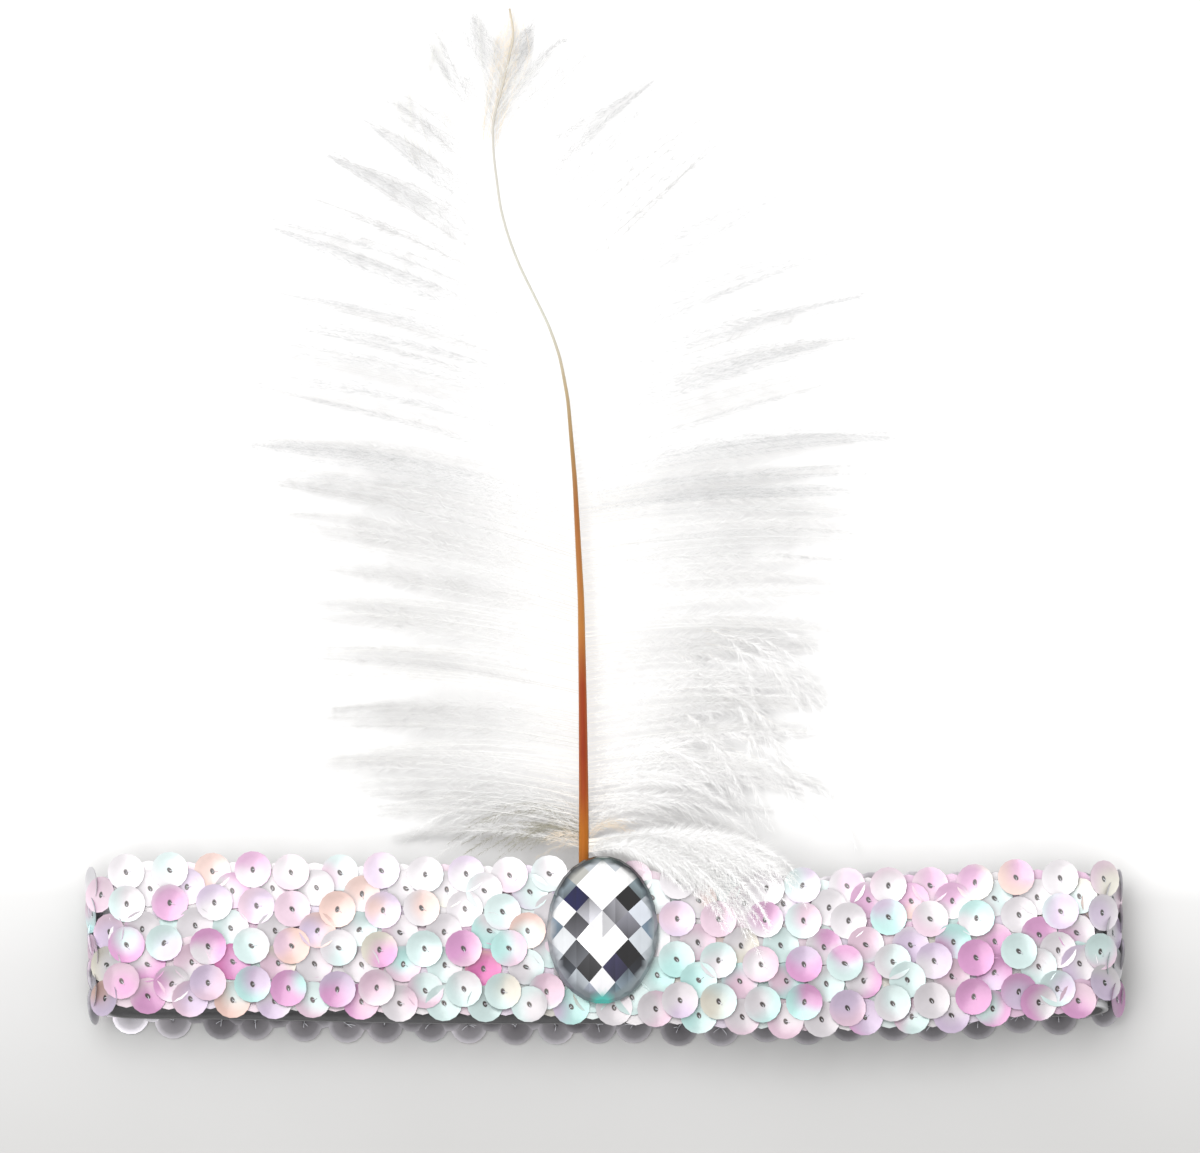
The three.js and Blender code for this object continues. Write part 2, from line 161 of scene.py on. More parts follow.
# Meshes from arrays
def makePiece(name, points, faces, material, colors=None, normals=None):
    faces = np.asarray(faces, np.int32)
    corners = faces.shape[1]
    mesh = bpy.data.meshes.new(name)
    mesh.vertices.add(len(points))
    mesh.vertices.foreach_set("co", np.asarray(points, np.float32).ravel())
    mesh.loops.add(faces.size)
    mesh.loops.foreach_set("vertex_index", faces.ravel())
    mesh.polygons.add(len(faces))
    mesh.polygons.foreach_set("loop_start", np.arange(0, faces.size, corners, dtype=np.int32))
    mesh.polygons.foreach_set("use_smooth", np.full(len(faces), True))
    mesh.update(calc_edges=True)
    if normals is not None:
        mesh.normals_split_custom_set_from_vertices(normals.tolist())
    if colors is not None:
        tint = mesh.color_attributes.new("tint", "FLOAT_COLOR", "POINT")
        filled = np.ones((len(points), 4), np.float32)
        filled[:, :3] = colors
        tint.data.foreach_set("color", filled.ravel())
    mesh.materials.append(material)
    piece = bpy.data.objects.new(name, mesh)
    bpy.context.scene.collection.objects.link(piece)
    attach(piece, "root")
    print(name, "faces", len(faces))
    return piece


class Heap:
    # Points, faces and colours of many small closed meshes, joined into one piece
    def __init__(self):
        self.points, self.faces, self.colors, self.normals, self.count = [], [], [], [], 0

    def add(self, points, faces, colors=None, normals=None):
        self.points.append(points)
        self.faces.append(np.asarray(faces) + self.count)
        if colors is not None:
            self.colors.append(colors)
        if normals is not None:
            self.normals.append(normals)
        self.count += len(points)

    def piece(self, name, material, slotName):
        colors = np.concatenate(self.colors) if self.colors else None
        normals = np.concatenate(self.normals) if self.normals else None
        points = place(np.concatenate(self.points))
        return makePiece(name, points, np.concatenate(self.faces), material, colors, normals)


def tubeFaces(rings, sides):
    ring, side = np.meshgrid(np.arange(rings - 1), np.arange(sides), indexing="ij")
    here = (ring * sides + side).ravel()
    beside = (ring * sides + (side + 1) % sides).ravel()
    wall = np.stack([here, here + sides, beside + sides, beside], 1)
    split = np.concatenate([wall[:, [0, 1, 2]], wall[:, [0, 2, 3]]])
    fan = np.arange(1, sides - 1)
    start = np.stack([np.zeros_like(fan), fan, fan + 1], 1)
    last = (rings - 1) * sides
    end = np.stack([np.full_like(fan, last), last + fan + 1, last + fan], 1)
    return np.concatenate([split, start, end])


def ringQuads(rows, sides):
    # Four-cornered faces of rings of points, where the last ring joins the first
    row, side = np.meshgrid(np.arange(rows), np.arange(sides), indexing="ij")
    following = (row + 1) % rows
    beside = (side + 1) % sides
    quads = np.stack([
        row * sides + side,
        following * sides + side,
        following * sides + beside,
        row * sides + beside,
    ], -1)
    return quads.reshape(-1, 4)


def tubePoints(line, radii, sides, turn=0.0):
    heading = unit(np.gradient(line, axis=0))
    across = unit(np.cross(heading, (0.0, 0.0, 1.0)))
    above = np.cross(across, heading)
    angle = turn + 2 * np.pi * np.arange(sides) / sides
    ring = np.cos(angle)[None, :, None] * across[:, None] + np.sin(angle)[None, :, None] * above[:, None]
    return (line[:, None] + ring * np.asarray(radii)[:, None, None]).reshape(-1, 3)


# Materials: every piece carries its colours as a point attribute named tint
def newMaterial(name, **sockets):
    material = bpy.data.materials.new(name)
    material.use_nodes = True
    tree = material.node_tree
    shader = next(node for node in tree.nodes if node.type == "BSDF_PRINCIPLED")
    for socket, value in sockets.items():
        shader.inputs[socket.replace("_", " ")].default_value = value
    return material, tree, shader


def addNode(tree, kind, **values):
    node = tree.nodes.new(kind)
    for name, value in values.items():
        if hasattr(node, name):
            setattr(node, name, value)
        else:
            node.inputs[name.replace("_", " ")].default_value = value
    return node


def noiseNode(tree, scale, detail, stretch=None):
    # Noise over the piece's own coordinates, stretched where it is streaky
    where = addNode(tree, "ShaderNodeTexCoord").outputs["Object"]
    if stretch:
        mapping = addNode(tree, "ShaderNodeMapping", Scale=stretch)
        tree.links.new(where, mapping.inputs["Vector"])
        where = mapping.outputs["Vector"]
    noise = addNode(tree, "ShaderNodeTexNoise", Scale=scale, Detail=detail)
    tree.links.new(where, noise.inputs["Vector"])
    return noise


def toneRamp(tree, noise, dark, light):
    ramp = addNode(tree, "ShaderNodeValToRGB")
    ramp.color_ramp.elements[0].color = (*linear(dark), 1)
    ramp.color_ramp.elements[1].color = (*linear(light), 1)
    tree.links.new(noise.outputs["Fac"], ramp.inputs["Fac"])
    return ramp


def mottledTint(tree, shader, noise, low, high):
    # The tint, a little darker and lighter with the noise
    tint = addNode(tree, "ShaderNodeAttribute", attribute_name="tint")
    fade = addNode(tree, "ShaderNodeMapRange", To_Min=low, To_Max=high)
    tree.links.new(noise.outputs["Fac"], fade.inputs["Value"])
    mix = addNode(tree, "ShaderNodeVectorMath", operation="SCALE")
    tree.links.new(tint.outputs["Color"], mix.inputs[0])
    tree.links.new(fade.outputs["Result"], mix.inputs["Scale"])
    tree.links.new(mix.outputs["Vector"], shader.inputs["Base Color"])


def bumpFrom(tree, shader, texture, strength, distance):
    bump = addNode(tree, "ShaderNodeBump", Strength=strength, Distance=distance)
    tree.links.new(texture.outputs["Fac"], bump.inputs["Height"])
    tree.links.new(bump.outputs["Normal"], shader.inputs["Normal"])


def sequinMaterial():
    look = {"Roughness": 0.3, "Metallic": 0.2, "Coat_Weight": 0.45, "Coat_Roughness": 0.12}
    film = {"Thin_Film_Thickness": 420.0, "Thin_Film_IOR": 1.45}
    material, tree, shader = newMaterial("pearly_sequin", **look, **film)
    cloud = noiseNode(tree, 900.0, 2.0)
    mottledTint(tree, shader, cloud, 0.93, 1.04)
    bumpFrom(tree, shader, cloud, 0.05, 0.0002)
    return material


def threadMaterial():
    material, tree, shader = newMaterial("clear_thread", Roughness=0.25, Coat_Weight=0.4)
    ramp = toneRamp(tree, noiseNode(tree, 1500.0, 1.0), (0.62, 0.63, 0.66), (0.93, 0.93, 0.95))
    tree.links.new(ramp.outputs["Color"], shader.inputs["Base Color"])
    return material


def elasticMaterial():
    material, tree, shader = newMaterial("stretch_ground", Roughness=0.85, Sheen_Weight=0.2)
    where = addNode(tree, "ShaderNodeTexCoord")
    rib = addNode(tree, "ShaderNodeTexWave", bands_direction="Y", Scale=180.0, Distortion=1.5)
    rib.inputs["Detail Scale"].default_value = 4.0
    tree.links.new(where.outputs["Object"], rib.inputs["Vector"])
    ramp = toneRamp(tree, noiseNode(tree, 1400.0, 3.0), (0.86, 0.86, 0.87), (0.97, 0.97, 0.98))
    tint = addNode(tree, "ShaderNodeAttribute", attribute_name="tint")
    mix = addNode(tree, "ShaderNodeVectorMath", operation="MULTIPLY")
    tree.links.new(ramp.outputs["Color"], mix.inputs[0])
    tree.links.new(tint.outputs["Color"], mix.inputs[1])
    tree.links.new(mix.outputs["Vector"], shader.inputs["Base Color"])
    bumpFrom(tree, shader, rib, 0.5, 0.0003)
    return material


def gemMaterial():
    look = {"Roughness": 0.12, "Metallic": 0.15, "Coat_Weight": 0.25, "Coat_Roughness": 0.02, "IOR": 1.5}
    material, tree, shader = newMaterial("foil_backed_gem", **look)
    mottledTint(tree, shader, noiseNode(tree, 260.0, 3.0), 0.86, 1.1)
    return material


def shaftMaterial():
    material, tree, shader = newMaterial("feather_horn", Roughness=0.55, Specular_IOR_Level=0.18)
    streak = noiseNode(tree, 1.0, 4.0, stretch=(3000.0, 120.0, 3000.0))
    mottledTint(tree, shader, streak, 0.8, 1.15)
    return material


def barbMaterial():
    look = {"Roughness": 0.8, "Sheen_Weight": 0.3, "Specular_IOR_Level": 0.25}
    material, tree, shader = newMaterial("white_barbs", **look)
    mottledTint(tree, shader, noiseNode(tree, 90.0, 3.0), 0.95, 1.03)
    return material


# The loop, followed from the left end of the front run, over it, round and back beneath
straightHalf = (band["laid"] - band["height"]) / 2
foldLength = math.pi * (band["fold"] + band["base"])
loopLength = 4 * straightHalf + 2 * foldLength


def loopPlace(turn, out):
    along = np.asarray(turn, float) * loopLength
    run = 2 * straightHalf
    rightTurn = np.clip((along - run) / foldLength, 0, 1)
    leftTurn = np.clip((along - 2 * run - foldLength) / foldLength, 0, 1)
    angle = np.pi * (0.5 - rightTurn - leftTurn)
    middle = -straightHalf + np.clip(along, 0, run) - np.clip(along - run - foldLength, 0, run)
    radius = band["fold"] + np.asarray(out, float)
    x = middle + radius * np.cos(angle)
    z = band["height"] / 2 + radius * np.sin(angle)
    return x, z, angle


def runPlace(x, angle):
    at = np.clip(2 * np.asarray(x, float) / band["laid"], -1, 1)
    rows = np.array(runRows)
    high = np.clip(np.searchsorted(rows[:, 0], at), 1, len(rows) - 1)
    low = rows[high - 1]
    share = smooth((at - low[..., 0]) / (rows[high][..., 0] - low[..., 0]))
    row = low + (rows[high] - low) * share[..., None]
    beneath = (1 - np.sin(angle)) / 2
    centre = band["width"] * (row[..., 1] + (row[..., 2] - row[..., 1]) * beneath)
    return centre, band["width"] * row[..., 3], beneath


def elasticBand():
    size = {"turns": 360, "across": 26, "rib": 0.07, "inset": 0.05}
    # Painted shade: the loop's inner face and the outer face of the run beneath are darkened, standing in
    # for the shade inside the loop and in the gap under the front run
    size["innerTone"] = 0.11
    size["beneathTone"] = 0.1
    turns = np.arange(size["turns"]) / size["turns"]
    across = np.linspace(-0.5, 0.5, size["across"]) * band["elastic"]
    ripple = size["rib"] * np.cos(np.arange(size["across"]) * np.pi)
    rings, shades = [], []
    for turn in turns:
        section = []
        for outward, sign in ((-size["inset"], 1), (size["inset"] - band["wall"], -1)):
            x, z, angle = loopPlace(turn, outward + sign * (ripple - size["rib"]))
            centre, width, beneath = runPlace(x, np.full(size["across"], angle))
            face = np.stack([x, centre + across, z], 1)
            section.append(face if sign > 0 else face[::-1])
            outerPaintedShade = 1 - (1 - size["beneathTone"]) * float(beneath.mean())
            shades.append(np.full(size["across"], outerPaintedShade if sign > 0 else size["innerTone"]))
        rings.append(np.concatenate(section))
    points = place(np.concatenate(rings))
    quads = ringQuads(size["turns"], 2 * size["across"])
    colors = np.repeat(np.concatenate(shades)[:, None], 3, axis=1)
    piece = makePiece("stretch_elastic", points, quads, elasticMaterial(), colors)
    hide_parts("elastic_band")


# Sequins
sequin = {
    "radius": 3.5, "cup": 0.38, "thick": 0.1, "segments": 16,
    "pitch": 8.1, "lift": 0.75, "tilt": 0.07, "seed": 11,
}
perRow = round(loopLength / sequin["pitch"])
acrossBand = np.array((0.0, 1.0, 0.0))
sequinRowShares = (0.0, 0.131, 0.277, 0.45, 0.584, 0.715, 0.9, 1.0)
pearls = {
    "white": (0.9, 0.885, 0.905),
    "ice": (0.86, 0.95, 0.945),
    "aqua": (0.76, 0.945, 0.93),
    "blush": (0.92, 0.8, 0.875),
    "orchid": (0.87, 0.63, 0.82),
    "hot": (0.89, 0.46, 0.73),
    "lavender": (0.86, 0.79, 0.9),
    "peach": (0.94, 0.8, 0.76),
    "cream": (0.9, 0.885, 0.83),
}
pearlNames = list(pearls)
pearlShades = np.array([linear(color) for color in pearls.values()])
# How often each shade comes in each stretch of the band, in the order of the shades above
pearlZones = {
    "leftFar": (10, 4, 1, 4, 1, 0, 3, 1, 1),
    "leftNear": (8, 4, 1, 5, 2, 0, 3, 1, 1),
    "middle": (8, 6, 1, 3, 0, 0, 4, 1, 1),
    "rightFar": (8, 5, 0, 4, 2, 0, 2, 1, 1),
    "rightNear": (7, 5, 1, 4, 3, 0, 4, 0, 1),
}
pearlPatches = [
    # shade, place along and across the band, reach along and across, strength
    ("orchid", 58.0, 0.02, 24.0, 0.12, 16),
    ("orchid", 78.0, 0.86, 14.0, 0.2, 16),
    ("hot", 79.0, 0.8, 7.0, 0.14, 8),
    ("aqua", 34.0, 0.85, 7.0, 0.2, 20),
    ("aqua", 17.0, 0.35, 6.0, 0.25, 18),
    ("aqua", -18.0, 0.4, 6.0, 0.3, 12),
    ("aqua", 60.0, 0.35, 12.0, 0.25, 8),
    ("hot", -22.0, 0.72, 5.5, 0.14, 26),
    ("hot", -43.0, 0.84, 4.0, 0.14, 16),
    ("hot", -71.0, 0.75, 4.5, 0.12, 16),
    ("orchid", -82.0, 0.8, 12.0, 0.2, 12),
    ("orchid", -80.0, 0.22, 7.0, 0.15, 10),
    ("aqua", -63.0, 0.92, 8.0, 0.12, 14),
    ("peach", -48.0, 0.2, 12.0, 0.15, 6),
    ("peach", -32.0, 0.3, 6.0, 0.12, 8),
    ("blush", 30.0, 0.75, 14.0, 0.3, 10),
]


def shadeWeights(x, share):
    if abs(x) < 22:
        zone = "middle"
    else:
        zone = ("left" if x < 0 else "right") + ("Far" if share < 0.5 else "Near")
    weights = np.array(pearlZones[zone], float)
    for shade, along, across, reachAlong, reachAcross, strength in pearlPatches:
        away = math.hypot((x - along) / reachAlong, (share - across) / reachAcross)
        weights[pearlNames.index(shade)] += strength * float(1 - smooth(away, 0.4, 1.2))
    return weights / weights.sum()


def sequinDisc():
    # One cupped disc with a hole: rings on the outer face, then on the inner one
    widths = ((0.12, 0.28), (0.34, 0.54), (0.5, 0.7), (2.5, 2.5), (sequin["radius"], sequin["radius"]))
    angle = 2 * np.pi * np.arange(sequin["segments"]) / sequin["segments"]
    rings = []
    for wide, long in widths:
        height = sequin["cup"] * (long / sequin["radius"]) ** 2
        rings.append(np.stack([wide * np.cos(angle), long * np.sin(angle), np.full_like(angle, height)], 1))
    outer = np.concatenate(rings)
    inner = np.concatenate(rings[::-1]) - np.array((0, 0, sequin["thick"]))
    points = np.concatenate([outer, inner])
    # Shading follows the cup right out to the rim
    soft = np.concatenate([unit(outer * np.array((-1, -1, 0)) * 0.07 + np.array((0, 0, 1.0)))] * 2)
    soft[len(outer):] = -soft[:len(outer)][::-1]
    return points, ringQuads(2 * len(widths), sequin["segments"]), soft, len(outer)


def fillDisc():
    # A flat closed disc of twelve sides, in four-cornered faces
    sides = 12
    angle = 2 * np.pi * np.arange(sides) / sides
    radius = 0.96 * sequin["radius"]
    ring = np.stack([radius * np.cos(angle), radius * np.sin(angle), 0 * angle], 1)
    points = np.concatenate([ring, ring - np.array((0, 0, sequin["thick"]))])
    wall = [(side, side + sides, (side + 1) % sides + sides, (side + 1) % sides) for side in range(sides)]
    top = [(0, side, side + 1, side + 2) for side in range(1, sides - 1, 2)]
    bottom = [tuple(corner + sides for corner in face[::-1]) for face in top]
    return points, np.array(wall + top + bottom)


def discAxes(up):
    # To the right, and across the band towards the plume, both square to up
    forward = unit(acrossBand - up * up[1])
    return np.cross(forward, up), forward


def fillPlaces():
    rng = np.random.default_rng(sequin["seed"] + 5)
    places = []
    for upper, lower in zip(sequinRowShares[:-1], sequinRowShares[1:]):
        share = (upper + lower) / 2
        for index in range(2 * perRow):
            turn = (index / 2 + rng.normal(0, 0.04)) / perRow % 1.0
            x, z, angle = loopPlace(turn, 1.0)
            centre, width, beneath = runPlace(x, angle)
            if beneath > 0.05:
                continue
            across = (width / 2 - sequin["radius"]) * (1 - 2 * share) + rng.normal(0, 0.2)
            normal = np.array((math.cos(angle), 0.0, math.sin(angle)))
            up = unit(normal - rng.normal(0.05, 0.04) * acrossBand)
            spot = np.array((float(x), float(centre + across), float(z)))
            places.append((spot, *discAxes(up), up, share))
    return places


def gemSeatShare(x, y):
    # 1 under the stone and just beside it, 0 away from it
    spread = np.hypot((x + 0.5) / 13.2, (y - 1.1) / 17.0)
    return 1 - smooth(spread, 0.9, 1.15)


def sequinPlaces():
    # Each sequin's place on the loop, with its axes and its share across the band
    rng = np.random.default_rng(sequin["seed"])
    places = []
    for rowIndex, share in enumerate(sequinRowShares):
        for index in range(perRow):
            turn = (index + 0.5 * (rowIndex % 2) + rng.normal(0, 0.055)) / perRow % 1.0
            x, z, angle = loopPlace(turn, band["base"])
            centre, width, beneath = runPlace(x, angle)
            room = width / 2 - sequin["radius"]
            across = room * (1 - 2 * share) + rng.normal(0, 0.3)
            across = float(np.clip(across, -room - 0.3, room + 0.3))
            seated = float(gemSeatShare(x, centre + across)) if beneath < 0.5 else 0.0
            calm = 1 - 0.8 * seated - 0.55 * float(beneath) * (1 - seated)
            onTop = (rowIndex % 2 == 0) != (rng.uniform() < 0.15)
            lift = (sequin["lift"] if onTop else 0.0) + rng.uniform(0, 0.12)
            out = 1.35 + 0.2 * float(beneath) - 0.25 * seated + lift * (1 - float(beneath)) * (1 - seated)
            x, z, angle = loopPlace(turn, out)
            normal = np.array((math.cos(angle), 0.0, math.sin(angle)))
            along = np.array((math.sin(angle), 0.0, -math.cos(angle)))
            tiltAcross = calm * (sequin["tilt"] + rng.normal(0, 0.05))
            tiltAlong = calm * rng.normal(0, 0.05)
            up = unit(normal - math.tan(tiltAcross) * acrossBand - math.tan(tiltAlong) * along)
            spot = np.array((float(x), float(centre) + across, float(z)))
            places.append((spot, *discAxes(up), up, share, float(beneath)))
    return places


def sequinCover():
    rng = np.random.default_rng(sequin["seed"] + 1)
    disc, quads, soft, outerCount = sequinDisc()
    # The back faces' silver grey is partly their own colour and partly painted shade, as only the shaded
    # run beneath shows them
    silverWithShade = np.array(linear((0.65, 0.64, 0.66)))
    # Painted light and shade on the back faces: lighter at the rim, darker towards the centre
    insideLightAndShade = np.repeat((1.6, 0.8, 0.55, 0.48, 0.4), sequin["segments"])  # from the rim in
    heap = Heap()
    for spot, right, forward, up, share, beneath in sequinPlaces():
        spin = rng.normal(0.35, 0.35)
        turned = disc.copy()
        turned[:, 0] = disc[:, 0] * math.cos(spin) - disc[:, 1] * math.sin(spin)
        turned[:, 1] = disc[:, 0] * math.sin(spin) + disc[:, 1] * math.cos(spin)
        cup = 1 + rng.normal(0, 0.22)
        turned[:, 2] = disc[:, 2] * cup
        frameAxes = np.stack([right, forward, up])
        points = spot + turned @ frameAxes
        points[:, 2] = np.maximum(points[:, 2], 0.05)
        first, second = pearlShades[rng.choice(len(pearlShades), 2, p=shadeWeights(spot[0], share))]
        # The second shade comes as a crescent on one side
        angle = rng.uniform(0, 2 * np.pi)
        aside = rng.uniform(0.3, 1.0) * sequin["radius"]
        away = np.hypot(turned[:, 0] - aside * math.cos(angle), turned[:, 1] - aside * math.sin(angle))
        edge = rng.uniform(0.7, 1.3)
        blend = smooth(away / sequin["radius"], edge - rng.uniform(0.3, 0.7), edge + 0.4)[:, None]
        # Painted highlight: each disc's rim is made a little lighter
        rim = 1 + 0.1 * smooth(np.hypot(disc[:, 0], disc[:, 1]), 2.7, 3.5)[:, None]
        # Painted light: the far rows are washed towards white
        farRowsPaintedLight = 0.22 * (1 - float(smooth(share, 0.0, 0.6)))
        colors = (first * (1 - blend) + second * blend) * (1 - farRowsPaintedLight) + farRowsPaintedLight
        # Painted shade: the nearer rows are darker, and each disc darkens towards its upper edge, which the
        # row above shades
        colors = colors * (0.79 - 0.26 * share) * rim
        colors = colors * (1 - 0.26 * smooth(turned[:, 1] / sequin["radius"], -0.5, 1.0)[:, None])
        colors[:2 * sequin["segments"]] = 0.02 + 0.08 * (1 - share)  # painted shade in the hole, darker on the nearer rows
        # Painted highlight: the discs beneath at the far left end are made brighter
        leftEndHighlight = 1 + 1.2 * float(smooth(-spot[0], 80, 88))
        colors[outerCount:] = silverWithShade * rng.uniform(0.7, 1.2) * leftEndHighlight * insideLightAndShade[:, None]
        heap.add(points, quads, colors, soft @ frameAxes)
    # Plain discs lower down close what the cupped ones leave open
    flat, flatQuads = fillDisc()
    for spot, right, forward, up, share in fillPlaces():
        tone = pearlShades[rng.choice(len(pearlShades), p=shadeWeights(spot[0], share))]
        # Painted light and shade across the band, as on the cupped discs: lighter on the far rows, darker
        # on the near ones
        tone = np.tile((0.35 + 0.65 * tone) * (0.77 - 0.26 * share), (len(flat), 1))
        facing = np.repeat(np.stack([up, -up]), len(flat) // 2, axis=0)
        heap.add(spot + flat @ np.stack([right, forward, up]), flatQuads, tone, facing)
    piece = heap.piece("sequins", sequinMaterial(), "sequins")
    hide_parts("sequin_cover")


def sequinStitches():
    # A clear stitch out of each hole. Under the back run it shows from the inside as a knotted loop.
    rng = np.random.default_rng(sequin["seed"] + 2)
    heap = Heap()
    steps = np.linspace(0, 1, 7)
    faces = tubeFaces(len(steps), 5)
    for spot, right, forward, up, share, beneath in sequinPlaces():
        inside = beneath > 0.6
        for loop in range(3 if inside else 1):
            angle = rng.uniform(0, 2 * np.pi) if inside else rng.normal(-0.7, 0.5)
            way = right * math.cos(angle) + forward * math.sin(angle)
            reach = rng.uniform(1.0, 2.2) if inside else rng.uniform(0.6, 1.3)
            height = 0.1 + 0.24 * np.sin(np.pi * steps) - 0.5 * (1 - steps) ** 6
            if inside:
                height = -(0.2 + rng.uniform(0.2, 0.6) * np.sin(np.pi * steps))
            line = spot + np.outer(steps * reach - 0.15, way) + np.outer(height, up)
            line[:, 2] = np.maximum(line[:, 2], 0.12)
            heap.add(tubePoints(line, np.full(len(steps), 0.055), 5), faces)
    heap.piece("sequin_thread", threadMaterial(), "sequins")


# Gem: painted reflections on its facets, as tones by a facet's steps to the side and up from the middle one
gemSteps = (2.45, 2.65)
gemFacetReflections = {
    (0, 0): (0.8, 0.8, 0.81),
    (0, 2): (0.97, 0.97, 0.97),
    (0, 4): (1.0, 1.0, 1.0),
    (-1, 3): (1.0, 1.0, 1.0),
    (1, 3): (1.0, 1.0, 1.0),
    (-1, 1): (0.66, 0.66, 0.68),
    (1, 1): (0.6, 0.6, 0.62),
    (-2, 2): (0.1, 0.12, 0.36),
    (2, 2): (0.07, 0.07, 0.08),
    (-2, 0): (0.42, 0.42, 0.44),
    (2, 0): (0.55, 0.55, 0.58),
    (-1, -1): (0.98, 0.98, 0.98),
    (1, -1): (1.0, 1.0, 1.0),
    (0, -2): (0.98, 0.98, 0.98),
    (-2, -2): (0.45, 0.46, 0.48),
    (2, -2): (0.13, 0.13, 0.15),
    (-3, -1): (0.9, 0.91, 0.92),
    (3, -1): (0.86, 0.88, 0.9),
    (-3, -3): (0.32, 0.34, 0.37),
    (3, -3): (0.2, 0.22, 0.26),
    (-3, 1): (0.97, 0.97, 0.97),
    (3, 1): (0.9, 0.92, 0.95),
    (-3, 3): (0.6, 0.65, 0.68),
    (3, 3): (0.62, 0.68, 0.7),
    (-4, 0): (0.55, 0.62, 0.68),
    (4, 0): (0.5, 0.57, 0.63),
    (-1, -3): (0.3, 0.3, 0.31),
    (1, -3): (0.27, 0.26, 0.38),
    (0, -4): (0.93, 0.93, 0.94),
    (-2, -4): (0.68, 0.7, 0.72),
    (2, -4): (0.55, 0.6, 0.64),
    (-1, -5): (0.6, 0.62, 0.66),
    (1, -5): (0.5, 0.58, 0.62),
    (-2, 4): (0.78, 0.78, 0.76),
    (2, 4): (0.97, 0.97, 0.97),
}
gemRimReflections = [
    # degrees round from the right, painted reflection tone at the rim
    (0, (0.75, 0.8, 0.82)),
    (25, (0.45, 0.5, 0.54)),
    (42, (0.12, 0.15, 0.17)),
    (66, (0.22, 0.24, 0.26)),
    (90, (0.3, 0.4, 0.38)),
    (112, (0.25, 0.27, 0.29)),
    (138, (0.1, 0.13, 0.15)),
    (158, (0.4, 0.44, 0.48)),
    (180, (0.85, 0.86, 0.88)),
    (225, (0.6, 0.62, 0.66)),
    (256, (0.5, 0.54, 0.56)),
    (264, (0.3, 0.86, 0.8)),
    (276, (0.35, 0.88, 0.83)),
    (284, (0.55, 0.62, 0.64)),
    (330, (0.72, 0.76, 0.78)),
    (360, (0.75, 0.8, 0.82)),
]


def facetedGem():
    bottom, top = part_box("gem")
    middle = (bottom + top) / 2
    mesh = bmesh.new()
    mesh.from_mesh(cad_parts["gem"].data)
    bmesh.ops.remove_doubles(mesh, verts=mesh.verts, dist=0.02 * mm)
    bmesh.ops.dissolve_limit(mesh, angle_limit=math.radians(1.2), verts=mesh.verts, edges=mesh.edges)
    which = mesh.faces.layers.int.new("facet")
    facets = []
    for index, face in enumerate(mesh.faces):
        face[which] = index
        offset = face.calc_center_median() - middle
        steps = (round(offset.x / mm / gemSteps[0]), round(offset.y / mm / gemSteps[1]))
        tone = 0.8 * np.array(linear(gemFacetReflections.get(steps, (0.8, 0.82, 0.84)))) ** 1.3
        # Painted reflection: each facet's tone runs lighter to one side and darker to the other, most on
        # the dark facets
        reflectionSlope = 2.4 * (3 * steps[0] + 5 * steps[1])
        swing = 0.45 if tone.mean() < 0.3 else 0.06
        facets.append((offset, tone, swing * math.cos(reflectionSlope), swing * math.sin(reflectionSlope)))
    bevel = {"offset": 0.07 * mm, "segments": 1, "affect": "EDGES", "clamp_overlap": True}
    bmesh.ops.bevel(mesh, geom=mesh.edges[:], **bevel)
    bmesh.ops.subdivide_edges(mesh, edges=mesh.edges[:], cuts=3, use_grid_fill=True)
    bmesh.ops.triangulate(mesh, faces=mesh.faces[:])
    layer = mesh.loops.layers.float_color.new("tint")
    rimPlaces = [row[0] for row in gemRimReflections]
    rimReflectionTones = 0.5 * np.array([linear(row[1]) for row in gemRimReflections])
    half = (top - bottom) / 2
    for face in mesh.faces:
        offset, tone, alongX, alongY = facets[face[which]]
        for loop in face.loops:
            spot = loop.vert.co - middle
            away = spot - offset
            # Each corner takes its facet's painted reflection tone, along that gradient
            shade = tone * max(0.3, 1 + (alongX * away.x + alongY * away.y) / (1.8 * mm))
            # Near the outline the corners take the rim's painted reflections: dark arcs above and a
            # turquoise glint below
            turn = math.degrees(math.atan2(spot.y / half.y, spot.x / half.x)) % 360
            edge = float(smooth(math.hypot(spot.x / half.x, spot.y / half.y), 0.87, 0.92))
            rim = np.array([np.interp(turn, rimPlaces, rimReflectionTones[:, channel]) for channel in range(3)])
            loop[layer] = (*(shade * (1 - edge) + rim * edge), 1)
    data = bpy.data.meshes.new("oval_stone")
    mesh.to_mesh(data)
    mesh.free()
    data.materials.append(gemMaterial())
    piece = bpy.data.objects.new("oval_stone", data)
    bpy.context.scene.collection.objects.link(piece)
    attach(piece, "root")
    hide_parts("gem")
    print("oval_stone faces", len(data.polygons))


# Shaft
def shaftCurve():
    rows = np.array(shaftRows)
    spots = np.stack([
        rows[:, 1] * plume["half"],
        plume["foot"] + rows[:, 0] * plume["reach"],
        rows[:, 2] * band["height"],
    ], 1)
    first = spots[0] - np.array((0.0, plume["tuck"], 0.0))
    knots = np.concatenate([first[None], spots])
    thick = np.concatenate([rows[:1, 3], rows[:, 3]])
    lengths = np.concatenate([[0], np.cumsum(np.linalg.norm(np.diff(knots, axis=0), axis=1))])
    fine = np.linspace(0, lengths[-1], 400)
    line = np.stack([np.interp(fine, lengths, knots[:, axis]) for axis in range(3)], 1)
    radii = np.interp(fine, lengths, thick) * plume["quill"] / 2
    kernel = np.hanning(17)
    kernel /= kernel.sum()
    padded = np.pad(line, ((8, 8), (0, 0)), mode="reflect", reflect_type="odd")
    line = np.stack([np.convolve(padded[:, axis], kernel, "valid") for axis in range(3)], 1)
    return line, radii


shaftLine, shaftRadii = shaftCurve()


